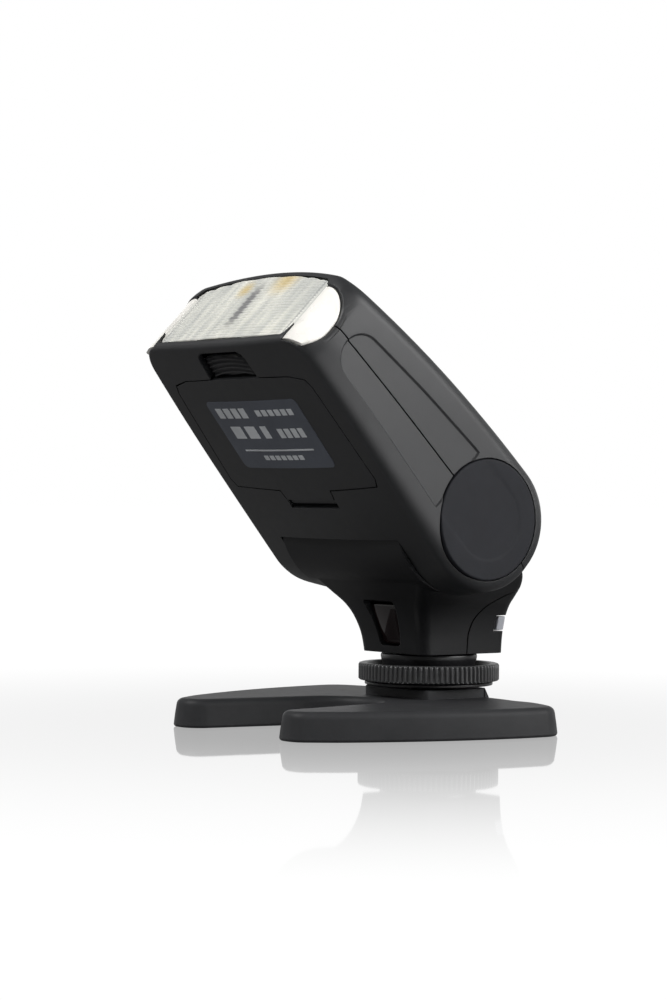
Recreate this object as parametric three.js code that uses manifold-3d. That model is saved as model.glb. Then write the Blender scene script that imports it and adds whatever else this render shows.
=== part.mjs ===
// Compact speedlight flash, seated on its small two-legged stand.
// Millimetres, +Z up, the lens faces -Y.  The origin is under the middle of the whole object.
// Everything is drawn about the foot's axis and then moved back by FOOT_AXIS_Y.
// Head pieces are drawn level, about the tilt pivot, and then tipped up by HEAD_TILT.
import * as THREE from 'three';
import { mergeVertices } from 'three/addons/utils/BufferGeometryUtils.js';
import Module from 'manifold-3d';

const wasm = await Module();
wasm.setup();

// Driving dimensions.
const GAP = 0.3;
const WALL = 1.7;
const HEAD_TILT = 45;
const FOOT_AXIS_Y = 21.525;
const PIVOT_Y = -9.9;
const PIVOT_Z = 45.6;

// Head, measured from the pivot: "a" runs to the lens, "b" runs to the top.
const HEAD_FRONT = 60;
const HEAD_HALF = 32.2;
const HEAD_CROWN = 4;
const HEAD_CORNER = 3;
const UNDER_TAPER = 2.7;
const UNDER_LEVEL = -15.69;
const END_CORNER = 6.4;
const LENS_RISE = 1;
const ROUND_A = -1.7;
const ROUND_B = 1.5;
const ROUND_R = 17.7;
const TOP_SAG = 0.0016;
const UNDER_SLOPE = 0.113;
const SLOT_HALF = 21.3;
const DRUM_R = 15.9;
const CAP_R = 12.8;
const HINGE_A = 17.9;
const HINGE_B = -12.1;
const LATCH_HALF = 8.2;
const WINDOW_A = 67.1;
const WINDOW_B = -1.1;
const WINDOW_R = 11.7;
const TUBE_A = 53.6;
const TUBE_B = 1.4;
const CELL_R = 7.1;
const CELL_LENGTH = 50.5;

// Neck, foot and stand, measured from the ground.
const NECK_BOTTOM = 15.9;
const COLLAR_R = 10.7;
const RING_R = 15.6;
const RING_TOP = 13.5;
const RING_BOTTOM = 9.7;
const RING_RIBS = 84;
const STEM_R = 5.8;
const FOOT_HALF = 9.3;
const FOOT_FRONT = -8.1;
const FOOT_BACK = 9.5;
const FOOT_BOTTOM = 4.8;
const FOOT_TOP = 6.8;
const RAIL_TOP = 8.3;
const STAND_TOP = 6.2;

const LOOKS = {
  shell: [0x1b1c1e, 0.55, 0],
  cap: [0x2a2c31, 0.62, 0],
  dark: [0x101113, 0.6, 0],
  button: [0xc9ccd0, 0.35, 0],
  lens: [0xe9eaec, 0.12, 0],
  white: [0xf2f1ec, 0.4, 0],
  red: [0x2a0508, 0.08, 0],
  led: [0xb01018, 0.25, 0],
  label: [0x4b4f59, 0.5, 0],
  board: [0x0f4a2c, 0.5, 0],
  steel: [0xb9bcc0, 0.32, 1],
  spring: [0xa6a9ad, 0.35, 1],
  brass: [0xb58a3c, 0.35, 1],
  mirror: [0xdfe2e6, 0.12, 1],
  glass: [0xdfe8ea, 0.05, 0],
  cell: [0x3d4653, 0.4, 0.2],
  sleeve: [0x14161c, 0.45, 0],
  ferrite: [0x2e2b27, 0.7, 0],
};

// ---- Solids -------------------------------------------------------------------------------

function toSolid(geometry) {
  const bare = geometry.clone();
  bare.deleteAttribute('normal');
  bare.deleteAttribute('uv');
  const welded = mergeVertices(bare, 1e-4);
  return new wasm.Manifold(new wasm.Mesh({
    numProp: 3,
    vertProperties: Float32Array.from(welded.attributes.position.array),
    triVerts: Uint32Array.from(welded.index.array),
  }));
}

function toGeometry(solid) {
  const mesh = solid.getMesh();
  const geometry = new THREE.BufferGeometry();
  geometry.setAttribute('position', new THREE.BufferAttribute(mesh.vertProperties, 3));
  geometry.setIndex(new THREE.BufferAttribute(mesh.triVerts, 1));
  return geometry;
}

function moved(geometry, x, y, z) {
  geometry.translate(x, y, z);
  return geometry;
}

function box(x0, x1, y0, y1, z0, z1) {
  const geometry = new THREE.BoxGeometry(x1 - x0, y1 - y0, z1 - z0);
  return toSolid(moved(geometry, (x0 + x1) / 2, (y0 + y1) / 2, (z0 + z1) / 2));
}

// Upright cylinder, or cone frustum when the two radii differ.
function post(x, y, z0, z1, low, high = low, steps = 32) {
  const geometry = new THREE.CylinderGeometry(high, low, z1 - z0, steps);
  geometry.rotateX(Math.PI / 2);
  return toSolid(moved(geometry, x, y, (z0 + z1) / 2));
}

// Cylinder lying along X.
function bar(y, z, x0, x1, radius, steps = 32) {
  const geometry = new THREE.CylinderGeometry(radius, radius, x1 - x0, steps);
  geometry.rotateZ(-Math.PI / 2);
  return toSolid(moved(geometry, (x0 + x1) / 2, y, z));
}

function slab(outline, depth) {
  const shape = new THREE.Shape(outline.map(([u, v]) => new THREE.Vector2(u, v)));
  return new THREE.ExtrudeGeometry(shape, { depth, bevelEnabled: false, steps: 1 });
}

// Outline in (x, y), pushed up from z0 to z1.
function upright(outline, z0, z1) {
  return toSolid(moved(slab(outline, z1 - z0), 0, 0, z0));
}

// Outline in (y, z), pushed along X from x0 to x1.
function sideways(outline, x0, x1) {
  const geometry = slab(outline, x1 - x0);
  geometry.applyMatrix4(new THREE.Matrix4().set(0, 0, 1, x0, 1, 0, 0, 0, 0, 1, 0, 0, 0, 0, 0, 1));
  return toSolid(geometry);
}

// Outline in (a, b) of the level head, pushed along X.
function headSide(outline, x0, x1) {
  return sideways(outline.map(([a, b]) => [-a, b]), x0, x1);
}

// Outline in (x, a) of the level head, pushed along b.
function headPlan(outline, b0, b1) {
  return upright(outline.map(([x, a]) => [x, -a]), b0, b1);
}

function arcPoints(cu, cv, radius, from, to, steps) {
  const points = [];
  for (let i = 0; i <= steps; i += 1) {
    const angle = THREE.MathUtils.degToRad(from + ((to - from) * i) / steps);
    points.push([cu + radius * Math.cos(angle), cv + radius * Math.sin(angle)]);
  }
  return points;
}

// Rounded rectangle, anticlockwise, with its corners at (u0, v0) and (u1, v1).
function roundedBox(u0, u1, v0, v1, radius, steps = 4) {
  return [
    ...arcPoints(u1 - radius, v1 - radius, radius, 0, 90, steps),
    ...arcPoints(u0 + radius, v1 - radius, radius, 90, 180, steps),
    ...arcPoints(u0 + radius, v0 + radius, radius, 180, 270, steps),
    ...arcPoints(u1 - radius, v0 + radius, radius, 270, 360, steps),
  ];
}

function mirrored(halfOutline) {
  const other = halfOutline.map(([u, v]) => [-u, v]).reverse();
  return [...halfOutline, ...other];
}

// Closes one end of a loft with strips from the first and last points towards the middle.
function closeEnd(faces, start, count, flip) {
  const add = (i, j, k) => faces.push(...(flip ? [i, j, k] : [i, k, j]));
  for (let i = start, j = start + count - 1; i + 1 < j; i += 1, j -= 1) {
    add(i, i + 1, j);
    if (i + 2 < j) {
      add(i + 1, j - 1, j);
    }
  }
}

function signedVolume(points, faces) {
  let volume = 0;
  for (let i = 0; i < faces.length; i += 3) {
    const [p, q, r] = [points[faces[i]], points[faces[i + 1]], points[faces[i + 2]]];
    volume += p[0] * (q[1] * r[2] - q[2] * r[1]);
    volume += p[1] * (q[2] * r[0] - q[0] * r[2]);
    volume += p[2] * (q[0] * r[1] - q[1] * r[0]);
  }
  return volume;
}

// Skins a row of rings that all have the same number of points.
function loft(rings) {
  const count = rings[0].length;
  const points = rings.flat();
  const faces = [];
  for (let i = 0; i + 1 < rings.length; i += 1) {
    for (let j = 0; j < count; j += 1) {
      const a = i * count + j;
      const b = i * count + ((j + 1) % count);
      faces.push(a, b, a + count, b, b + count, a + count);
    }
  }
  closeEnd(faces, 0, count, false);
  closeEnd(faces, (rings.length - 1) * count, count, true);
  if (signedVolume(points, faces) < 0) {
    faces.reverse();
  }
  const geometry = new THREE.BufferGeometry();
  geometry.setAttribute('position', new THREE.Float32BufferAttribute(points.flat(), 3));
  geometry.setIndex(faces);
  return toSolid(geometry);
}

function addAll(first, ...others) {
  return others.reduce((sum, other) => sum.add(other), first);
}

function cutAll(first, ...others) {
  return others.reduce((sum, other) => sum.subtract(other), first);
}

// ---- Head envelope ------------------------------------------------------------------------

// Half width at a, with the corners beside the lens rounded in plan.
function headHalfWidth(a, inset) {
  const past = Math.max(0, a - 25) / 35;
  const radius = END_CORNER - inset;
  const reach = Math.min(radius, Math.max(0, a - HEAD_FRONT + END_CORNER));
  return HEAD_HALF - 1.5 * past * past - END_CORNER + Math.sqrt(radius ** 2 - reach ** 2);
}

// How far a long edge of the given radius pulls the surface in at the sideways position q.
function cornerDrop(q, radius) {
  const side = Math.max(0, (Math.abs(q) - 1) * HEAD_HALF + radius);
  return radius - Math.sqrt(Math.max(0, radius ** 2 - side ** 2));
}

// The lower part of each side leans in, more so towards the lens, and ends in a tight edge.
function taperRise(q, a) {
  return (5 + a / 20) * (cornerDrop(q, UNDER_TAPER) / UNDER_TAPER);
}

function topHeight(a, x, q) {
  const across = (x / HEAD_HALF) ** 2;
  const rise = LENS_RISE * (a / HEAD_FRONT) ** 2 * (1 - across);
  const sag = TOP_SAG * (a - ROUND_A) ** 2;
  return ROUND_B + ROUND_R + rise - sag - HEAD_CROWN * across - cornerDrop(q, HEAD_CORNER);
}

function underHeight(a, x, q) {
  const crown = 0.8 + 0.7 * (1 - a / HEAD_FRONT) ** 2;
  const level = UNDER_LEVEL + UNDER_SLOPE * (a - 0.29);
  return level + crown * (x / HEAD_HALF) ** 2 + taperRise(q, a);
}

// One slice of the head at the sideways position q (-1 to 1), as points [x, y, z].
function headSlice(q, inset, front) {
  const shares = [1, 0.995, 0.98, 0.95, 0.9, 0.75, 0.5, 0.25];
  const flat = (share, height, sign) => {
    const a = front * share;
    const x = q * headHalfWidth(a, inset);
    return [x, -a, height(a, x, q) - sign * inset];
  };
  const drop = HEAD_CROWN * q * q + cornerDrop(q, HEAD_CORNER);
  const lift = 0.4 + 1.5 * q * q + taperRise(q, 0);
  const steps = 16;
  const back = [];
  for (let i = 0; i <= steps; i += 1) {
    const degrees = 90 + (186.45 * i) / steps;
    const turn = Math.max(0, (degrees - 180) / 96.45);
    const radius = ROUND_R - inset - drop * (1 - turn) - lift * turn;
    const angle = THREE.MathUtils.degToRad(degrees);
    const a = ROUND_A + radius * Math.cos(angle);
    back.push([q * (HEAD_HALF - inset), -a, ROUND_B + radius * Math.sin(angle)]);
  }
  const top = shares.map((share) => flat(share, topHeight, 1));
  const under = shares.map((share) => flat(share, underHeight, -1)).reverse();
  return [...top, ...back, ...under];
}

function headEnvelope(inset, front = HEAD_FRONT) {
  const half = [0.35, 0.62, 0.8, 0.905, 0.925, 0.945, 0.965, 0.982, 0.995, 1];
  const across = [...half.map((q) => -q).reverse(), 0, ...half];
  return loft(across.map((q) => headSlice(q, inset, front)));
}

// The wall of the head between two depths under its surface.
function headSkin(outer, inner) {
  return headEnvelope(outer).subtract(headEnvelope(inner, HEAD_FRONT + 2));
}

const OUTER = headEnvelope(0);
const DEEP = 90;

// ---- Head shells --------------------------------------------------------------------------

// Battery door outline in (x, a); "grow" widens it for the opening in the shell.
function doorOutline(grow) {
  return mirrored([
    [9, 51 + grow],
    [19, 50.7 + grow],
    [23.6 + grow, 49.6 + grow],
    [24.6 + grow, 47.6],
    [25.4 + grow, 36],
    [26.2 + grow, 24],
    [25.2 + grow, 22.1 - grow],
    [9 + grow, 21.5 - grow],
    [8.4 + grow, 18.9 - grow],
  ]);
}

// Room for the neck drum, and for the neck itself over the whole tilt range.
function neckSlot() {
  const sweep = [[0, 0], ...arcPoints(0, 0, 26, 100, 299, 24)];
  const drum = bar(0, 0, -SLOT_HALF, SLOT_HALF, DRUM_R + 0.4, 48);
  return headSide(sweep, -SLOT_HALF, SLOT_HALF).add(drum);
}

function cheekBore(sign) {
  const inner = 22.9;
  const recess = 30.5;
  const bore = bar(0, 0, inner, recess + 0.1, 11.2, 32);
  const seat = bar(0, 0, recess, 40, CAP_R + 0.25, 48);
  const bearing = bar(0, 0, SLOT_HALF - 1, inner + 0.1, 5, 24);
  const cut = addAll(bore, seat, bearing);
  return sign > 0 ? cut : flipX(cut);
}

function flipX(solid) {
  const geometry = toGeometry(solid);
  geometry.scale(-1, 1, 1);
  const index = geometry.index.array;
  for (let i = 0; i < index.length; i += 3) {
    [index[i], index[i + 1]] = [index[i + 1], index[i]];
  }
  return toSolid(geometry);
}

function sideWindow(radius) {
  return bar(-WINDOW_A, WINDOW_B, -40, 40, radius, 56);
}

function sideGroove() {
  const outline = [
    ...arcPoints(46.3, -0.5, 5.1, -75, 80, 7),
    [30, 6.4],
    [12, 7.9],
    [12, -7.9],
    [30, -6.6],
  ];
  const depth = 0.45;
  const layer = headSkin(-1, depth);
  const inside = cutAll(headSide(outline, 20, 40), bar(0, 0, 0, 50, 14.3, 48));
  const right = layer.intersect(inside);
  return right.add(flipX(right));
}

function hollowShell() {
  const ahead = box(-DEEP, DEEP, -DEEP, -17.8, -DEEP, DEEP);
  const cavity = headEnvelope(WALL, HEAD_FRONT + 2).intersect(ahead);
  const corners = box(-40, -23.9, -DEEP, -55, -8.1, DEEP).add(box(23.9, 40, -DEEP, -55, -8.1, DEEP));
  const windows = sideWindow(WINDOW_R).intersect(corners);
  return cutAll(OUTER, cavity, neckSlot(), cheekBore(1), cheekBore(-1), windows, sideGroove());
}

function latchOutline(grow, front) {
  return [
    [-LATCH_HALF - grow, 51.6 - grow],
    [LATCH_HALF + grow, 51.6 - grow],
    [LATCH_HALF - 0.4 + grow, front - 1.4],
    [LATCH_HALF - 2.2 + grow, front],
    [-LATCH_HALF + 2.2 - grow, front],
    [-LATCH_HALF + 0.4 - grow, front - 1.4],
  ];
}

function buildShells() {
  const whole = hollowShell();
  const low = box(-DEEP, DEEP, -DEEP, DEEP, -DEEP, -GAP / 2);
  const high = box(-DEEP, DEEP, -DEEP, DEEP, GAP / 2, DEEP);
  const doorway = headPlan(doorOutline(GAP), -DEEP, -2);
  const hingeSlot = headPlan([[-8.7, 16.6], [8.7, 16.6], [8.7, 19.2], [-8.7, 19.2]], -DEEP, -5);
  const latchRecess = headPlan(latchOutline(0.6, 58), -DEEP, -2);
  const flangeRecess = box(-10.3, 10.3, -57.1, -52.6, -8, -6.5);
  return {
    lower: cutAll(whole.intersect(low), doorway, hingeSlot, latchRecess, flangeRecess),
    upper: whole.intersect(high),
  };
}

// ---- Battery door, latch and label --------------------------------------------------------

function buildDoor() {
  const skin = headSkin(0, WALL).intersect(headPlan(doorOutline(0), -DEEP, -2));
  const knuckle = bar(-HINGE_A, HINGE_B, -8, 8, 1.1, 16);
  const web = headSide([[17.9, -13.1], [19.6, -13.2], [19.6, -11.6], [17.9, -11.3]], -8, 8);
  const hook = [[49, -9.3], [50.2, -9.3], [50.2, -7.6], [50.9, -7.6], [50.9, -6.9], [49, -6.9]];
  const catchTab = headSide(hook, -4, 4);
  const pocket = headSkin(-1, 0.65).intersect(headPlan(labelOutline(0.3), -DEEP, -2));
  return cutAll(addAll(skin, knuckle, web, catchTab), pocket);
}

function labelOutline(grow) {
  return roundedBox(-16.5 - grow, 16.5 + grow, 27.6 - grow, 45.4 + grow, 1.4 + grow, 3);
}

function buildLabel() {
  return headSkin(0, 0.35).intersect(headPlan(labelOutline(0), -DEEP, -2));
}

function buildLatch() {
  const thumb = headSkin(0.35, 1.9).intersect(headPlan(latchOutline(0, 56.2), -DEEP, -2));
  const grooves = [];
  for (let i = 0; i < 4; i += 1) {
    const bow = arcPoints(0, 43.6 + i * 1.15, 8.9, 48, 132, 8);
    const back = arcPoints(0, 43.6 + i * 1.15 - 0.45, 8.9, 132, 48, 8);
    grooves.push(headSkin(-1, 0.85).intersect(headPlan([...bow, ...back], -DEEP, -2)));
  }
  const stalk = box(-6, 6, -54.6, -53.2, -8.6, -7.3);
  const flange = box(-10, 10, -55.2, -53, -7.6, -7.2);
  return addAll(cutAll(thumb, ...grooves), stalk, flange);
}

// ---- Lens and light source ----------------------------------------------------------------

function lensPlan(half) {
  return [
    [-half, 57.4],
    [half, 57.4],
    [half, 60.2],
    [half * 0.7, 60.7],
    [half * 0.35, 61],
    [-half * 0.35, 61],
    [-half * 0.7, 60.7],
    [-half, 60.2],
  ];
}

function lensBody() {
  const reach = headEnvelope(WALL + GAP, HEAD_FRONT + 2);
  return reach.intersect(headPlan(lensPlan(23.6), -DEEP, DEEP));
}

function lensCap() {
  const outer = arcPoints(24.3, 53.6, 5.7, 10, 94, 7);
  const inner = arcPoints(24.3, 53.6, 4.3, 95, 10, 5);
  const disc = sideWindow(WINDOW_R - GAP).intersect(box(-DEEP, DEEP, -DEEP, DEEP, -7.8, DEEP));
  const limit = headEnvelope(GAP, HEAD_FRONT + 2);
  return disc.intersect(headPlan([...outer, ...inner], -DEEP, DEEP)).intersect(limit);
}

function buildReflector() {
  const bowl = [];
  for (let i = 0; i <= 12; i += 1) {
    const rise = -8.4 + 1.4 * i;
    bowl.push([51.3 + rise ** 2 / 14, TUBE_B + rise]);
  }
  const back = bowl.map(([a, b]) => [a - 0.6, b]).reverse();
  return headSide([...bowl, ...back], -22, 22);
}

// ---- Power parts inside the head ----------------------------------------------------------

const CELL_SEATS = [[28, -2.9], [43, -1.5]];

function buildCell([a, b], sign) {
  const half = CELL_LENGTH / 2;
  const can = bar(-a, b, -half, half - 1.2, CELL_R, 28);
  const nub = bar(-a, b, half - 1.3, half, 2.6, 16);
  const cell = can.add(nub);
  return sign > 0 ? cell : flipX(cell);
}

function contactStrip(x, reach) {
  const sign = Math.sign(x);
  const back = x + sign * 0.45;
  return headPlan([[x, reach[0]], [back, reach[0]], [back, reach[1]], [x, reach[1]]], -7.5, 2.2);
}

// ---- Neck ---------------------------------------------------------------------------------

// Rounded-rectangle sections: [height, half width, front, back, corner radius].
const NECK = [
  [NECK_BOTTOM, 11.5, -10.6, 12.6, 2.6],
  [20.0, 11.9, -11.3, 12.6, 2.6],
  [23.8, 13.0, -12.6, 12.6, 2.8],
  [26.5, 14.6, -14.0, 12.5, 3.0],
  [28.6, 16.8, -15.4, 12.2, 3.0],
  [31.0, 19.0, -17.2, 11.8, 2.6],
  [33.5, 20.6, -19.2, 10.6, 2.0],
  [35.5, 21.0, -20.4, 9.0, 1.6],
  [39.0, 21.0, -18.0, 5.8, 1.6],
  [43.0, 21.0, -16.0, 3.0, 1.6],
  [46.5, 21.0, -14.0, 1.0, 1.6],
];

function neckRing([z, half, front, back, radius], inset) {
  const corner = Math.max(0.8, radius - inset);
  const outline = roundedBox(-half + inset, half - inset, front + inset, back - inset, corner, 4);
  return outline.map(([x, y]) => [x, y, z]);
}

function neckBody(inset) {
  const rows = NECK.map((row) => neckRing(row, inset));
  const drum = bar(PIVOT_Y, PIVOT_Z, -21 + inset, 21 - inset, DRUM_R - inset, 48);
  return loft(rows).add(drum);
}

// Side outline of everything behind the rear seam.
function rearRegion(shift) {
  return [
    [1.3 + shift, 0],
    [1.3 + shift, 20.5],
    [1.9 + shift, 23.2 - shift],
    [3.4 + shift, 25.6 - shift],
    [5.4 + shift, 27.5 - shift],
    [8.0, 29.1 - shift],
    [12.8, 30.6 - shift],
    [30, 30.6 - shift],
    [30, 0],
  ];
}

const WINDOW = [[-3.1, 17.9], [3.1, 17.9], [4.7, 26.6], [-4.7, 26.6]];

function windowPrism(grow, y0, y1) {
  const outline = WINDOW.map(([x, z]) => [x + Math.sign(x) * grow, z + (z > 20 ? grow : -grow)]);
  const geometry = slab(outline, y1 - y0);
  geometry.rotateX(Math.PI / 2);
  return toSolid(moved(geometry, 0, y1, 0));
}

function buildNeck() {
  const inside = neckBody(1.6).subtract(box(-DEEP, DEEP, -DEEP, DEEP, 0, NECK_BOTTOM + 1.8));
  const stemHole = post(0, 0, 0, 30, 4.4, 4.4, 24);
  const hub = bar(PIVOT_Y, PIVOT_Z, -30, 30, 4.9, 24);
  const whole = cutAll(neckBody(0), inside, stemHole, hub);
  const pocket = windowPrism(0.4, -30, -8);
  const buttonSlot = box(-16, 16, 8.4, 20, 20.7, 24.3);
  const switchSlot = box(-4.8, 4.8, 8, 20, 26, 28.2);
  return {
    front: cutAll(whole, sideways(rearRegion(0), -40, 40), pocket),
    rear: cutAll(whole.intersect(sideways(rearRegion(GAP), -40, 40)), buttonSlot, switchSlot),
  };
}

function buildAfWindow() {
  const lean = sideways([[-9.6, 17], [-10.2, 17], [-13.0, 28], [-11.6, 28]], -10, 10);
  return windowPrism(0.1, -30, -5).intersect(lean);
}

function buildTestButton() {
  const band = box(-16, 16, 9.2, 20, 21, 24);
  const plunger = box(-2.5, 2.5, 7.7, 11.6, 21.6, 23.4);
  return neckBody(0.05).subtract(neckBody(1.5)).intersect(band).add(plunger);
}

// ---- Hot-shoe foot and locking ring -------------------------------------------------------

const PINS = [[0, 0], [-3.7, -2.2], [3.7, -2.2], [0, 4.4]];
const SCREWS = [[-4.0, 2.2], [4.0, 2.2]];
const LOCK_PIN_Y = -5.0;

function buildFootPlate() {
  const outline = roundedBox(-FOOT_HALF, FOOT_HALF, FOOT_FRONT, FOOT_BACK, 1.2, 3);
  const plate = upright(outline, FOOT_BOTTOM, FOOT_TOP);
  const holes = PINS.map(([x, y]) => post(x, y, 0, 9, 1.3, 1.3, 16));
  const shanks = SCREWS.map(([x, y]) => post(x, y, 0, 9, 1.2, 1.2, 16));
  const heads = SCREWS.map(([x, y]) => post(x, y, 4, 5.9, 1.9, 1.9, 20));
  return cutAll(plate, ...holes, ...shanks, ...heads, post(0, LOCK_PIN_Y, 0, 9, 1.3, 1.3, 16));
}

function buildStem() {
  const body = addAll(
    post(0, 0, FOOT_TOP + GAP, 12.1, STEM_R, STEM_R, 36),
    post(0, 0, 12, NECK_BOTTOM - GAP, COLLAR_R, COLLAR_R, 48),
    post(0, 0, 15, 19.4, 4.1, 4.1, 24),
  );
  const pockets = PINS.map(([x, y]) => post(x, y, 5, 8.4, 1.3, 1.3, 16));
  const threads = SCREWS.map(([x, y]) => post(x, y, 5, 10.4, 1.1, 1.1, 16));
  return cutAll(body, ...pockets, ...threads, post(0, LOCK_PIN_Y, 5, 11.6, 1.3, 1.3, 16));
}

function buildPin([x, y]) {
  return post(x, y, 4.2, 7.6, 1, 1, 16);
}

function buildScrew([x, y]) {
  const across = box(x - 1.1, x + 1.1, y - 0.2, y + 0.2, 4, 5.3);
  const along = box(x - 0.2, x + 0.2, y - 1.1, y + 1.1, 4, 5.3);
  const shank = post(x, y, 5.5, 10, 0.8, 0.8, 12);
  const head = post(x, y, 4.95, 5.6, 1.6, 1.6, 20);
  return cutAll(shank.add(head), across, along);
}

function buildRing() {
  const ribs = [];
  for (let i = 0; i < RING_RIBS; i += 1) {
    const step = 360 / RING_RIBS;
    ribs.push(...arcPoints(0, 0, RING_R, i * step, i * step + step * 0.4, 1));
    ribs.push(...arcPoints(0, 0, RING_R - 0.45, i * step + step * 0.55, i * step + step * 0.85, 1));
  }
  const rim = upright(ribs, RING_BOTTOM, RING_TOP);
  const dish = post(0, 0, 11.3, 20, 13.6, 13.6, 48);
  const hole = post(0, 0, 5, 20, STEM_R + GAP, STEM_R + GAP, 36);
  return cutAll(rim, dish, hole);
}

function buildWasher() {
  const hole = post(0, 0, 5, 12, STEM_R + GAP, STEM_R + GAP, 36);
  return post(0, 0, 8.75, 9.4, 14.2, 14.2, 48).subtract(hole);
}

// ---- Stand --------------------------------------------------------------------------------

// Half of the plan, from the middle of the back edge round one leg to the middle of the notch.
function standOutline() {
  const half = [
    [0, 9.4],
    [14, 9.4],
    [21.5, 8.5],
    [27.5, 8.6],
    ...arcPoints(33.3, -0.8, 7.3, 70, 8, 4),
    [40.2, -6.5],
    [38.7, -16.5],
    [36.4, -25.5],
    [33.4, -34.2],
    [28.8, -44.6],
    ...arcPoints(20.4, -48.2, 5, -33, -90, 3),
    ...arcPoints(19.2, -48.2, 5, -92, -172, 4),
    [13.2, -42],
    [11.8, -34],
    ...arcPoints(0, -27.5, 10.9, 0, 90, 7),
  ];
  const other = half.slice(1, -1).map(([x, y]) => [-x, y]).reverse();
  return [...half, ...other].reverse();
}

// Moves every point of an anticlockwise outline inwards by the same distance.
function inwards(outline, distance) {
  const count = outline.length;
  return outline.map(([x, y], i) => {
    const before = outline[(i + count - 1) % count];
    const after = outline[(i + 1) % count];
    const along = [after[0] - before[0], after[1] - before[1]];
    const length = Math.hypot(...along);
    return [x - (distance * along[1]) / length, y + (distance * along[0]) / length];
  });
}

// Skins level outlines of one plan and closes both ends, which may be hollowed in plan.
function stackedPlan(levels) {
  const rows = levels.map(([z, inset]) => inwards(standOutline(), inset).map(([x, y]) => [x, y, z]));
  const count = rows[0].length;
  const points = rows.flat();
  const contour = rows[0].map(([x, y]) => new THREE.Vector2(x, y));
  const lid = THREE.ShapeUtils.triangulateShape(contour, []);
  const top = (rows.length - 1) * count;
  const faces = [];
  for (let i = 0; i < top; i += 1) {
    const next = i % count === count - 1 ? i + 1 - count : i + 1;
    faces.push(i, next, i + count, next, next + count, i + count);
  }
  for (const [i, j, k] of lid) {
    faces.push(i, k, j, top + i, top + j, top + k);
  }
  const geometry = new THREE.BufferGeometry();
  geometry.setAttribute('position', new THREE.Float32BufferAttribute(points.flat(), 3));
  geometry.setIndex(faces);
  return toSolid(geometry);
}

function buildStand() {
  const plate = stackedPlan([[0, 0.4], [0.5, 0], [4.9, 0.7], [5.8, 1.3], [STAND_TOP, 2.2]]);
  const shoe = upright(roundedBox(-11.1, 11.1, -9.6, 7.4, 1, 3), 2, RAIL_TOP);
  const ramp = sideways([[7, 3.5], [8.6, 3.5], [8.6, 5.4], [7, RAIL_TOP]], -11.1, 11.1);
  const channel = box(-9.6, 9.6, -8.5, 20, 4.5, 7.1);
  const mouth = box(-6.4, 6.4, -8.5, 20, 6.5, 12);
  const pinRelief = box(-5.4, 5.4, -6.4, 20, 3.4, 5);
  const insert = post(0, 0, -1, 3.1, 5.3, 5.3, 32);
  const lockHole = post(0, LOCK_PIN_Y, 2.6, 5, 1.4, 1.4, 16);
  return cutAll(addAll(plate, shoe, ramp), channel, mouth, pinRelief, insert, lockHole);
}

function buildInsert() {
  return post(0, 0, 0, 2.8, 5, 5, 32).subtract(post(0, 0, -1, 5, 3.2, 3.2, 24));
}

// ---- Assembly -----------------------------------------------------------------------------

const flash = new THREE.Group();
flash.name = 'speedlight_flash';

function place(name, solid, look, inHead = false) {
  const geometry = toGeometry(solid);
  if (inHead) {
    geometry.rotateX(THREE.MathUtils.degToRad(-HEAD_TILT));
    geometry.translate(0, PIVOT_Y, PIVOT_Z);
  }
  geometry.translate(0, FOOT_AXIS_Y, 0);
  geometry.computeVertexNormals();
  const [color, roughness, metalness] = LOOKS[look];
  const material = new THREE.MeshStandardMaterial({ color, roughness, metalness });
  const mesh = new THREE.Mesh(geometry, material);
  mesh.name = name;
  flash.add(mesh);
}

function placeStand() {
  place('stand_body', buildStand(), 'shell');
  place('stand_tripod_insert', buildInsert(), 'brass');
}

function placeFoot() {
  place('foot_plate', buildFootPlate(), 'steel');
  place('foot_stem', buildStem(), 'dark');
  place('foot_contact_centre', buildPin(PINS[0]), 'brass');
  place('foot_contact_left', buildPin(PINS[1]), 'brass');
  place('foot_contact_right', buildPin(PINS[2]), 'brass');
  place('foot_contact_rear', buildPin(PINS[3]), 'brass');
  place('foot_screw_left', buildScrew(SCREWS[0]), 'steel');
  place('foot_screw_right', buildScrew(SCREWS[1]), 'steel');
  place('lock_pin', post(0, LOCK_PIN_Y, 5, 9.8, 1, 1, 16), 'steel');
  place('clamp_washer', buildWasher(), 'dark');
  place('locking_ring', buildRing(), 'shell');
}

function placeNeck() {
  const neck = buildNeck();
  place('neck_front_shell', neck.front, 'shell');
  place('neck_rear_panel', neck.rear, 'shell');
  place('af_assist_window', buildAfWindow(), 'red');
  place('af_assist_led', post(0, -7.2, 20, 24, 2.2, 2.2, 16), 'led');
  place('control_board', box(-9.6, 9.6, 3.4, 4.6, 19.8, 30), 'board');
  place('test_switch', box(-2.6, 2.6, 4.9, 7.0, 20, 25), 'dark');
  place('test_button', buildTestButton(), 'button');
  place('power_switch_body', box(-4.2, 4.2, 4.9, 7.6, 25.6, 28.6), 'steel');
  place('power_switch_knob', box(-2.6, 0.2, 7.9, 13.1, 26.4, 27.8), 'dark');
}

function placePivot() {
  for (const [side, sign] of [['left', -1], ['right', 1]]) {
    const ordered = (x0, x1) => [Math.min(sign * x0, sign * x1), Math.max(sign * x0, sign * x1)];
    const axle = bar(0, 0, ...ordered(16, 27.4), 4.6, 24);
    const disc = bar(0, 0, ...ordered(24.2, 25.4), 9, 24);
    const cap = bar(0, 0, ...ordered(30.8, 32.4), CAP_R, 48);
    const wireHole = bar(0, 0, ...ordered(10, 30), 2.8, 20);
    const axleHole = bar(0, 0, ...ordered(20, 30), 4.9, 24);
    place(`pivot_axle_${side}`, axle.subtract(wireHole), 'steel', true);
    place(`pivot_detent_disc_${side}`, disc.subtract(axleHole), 'steel', true);
    place(`pivot_cap_${side}`, cap, 'cap', true);
  }
}

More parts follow.
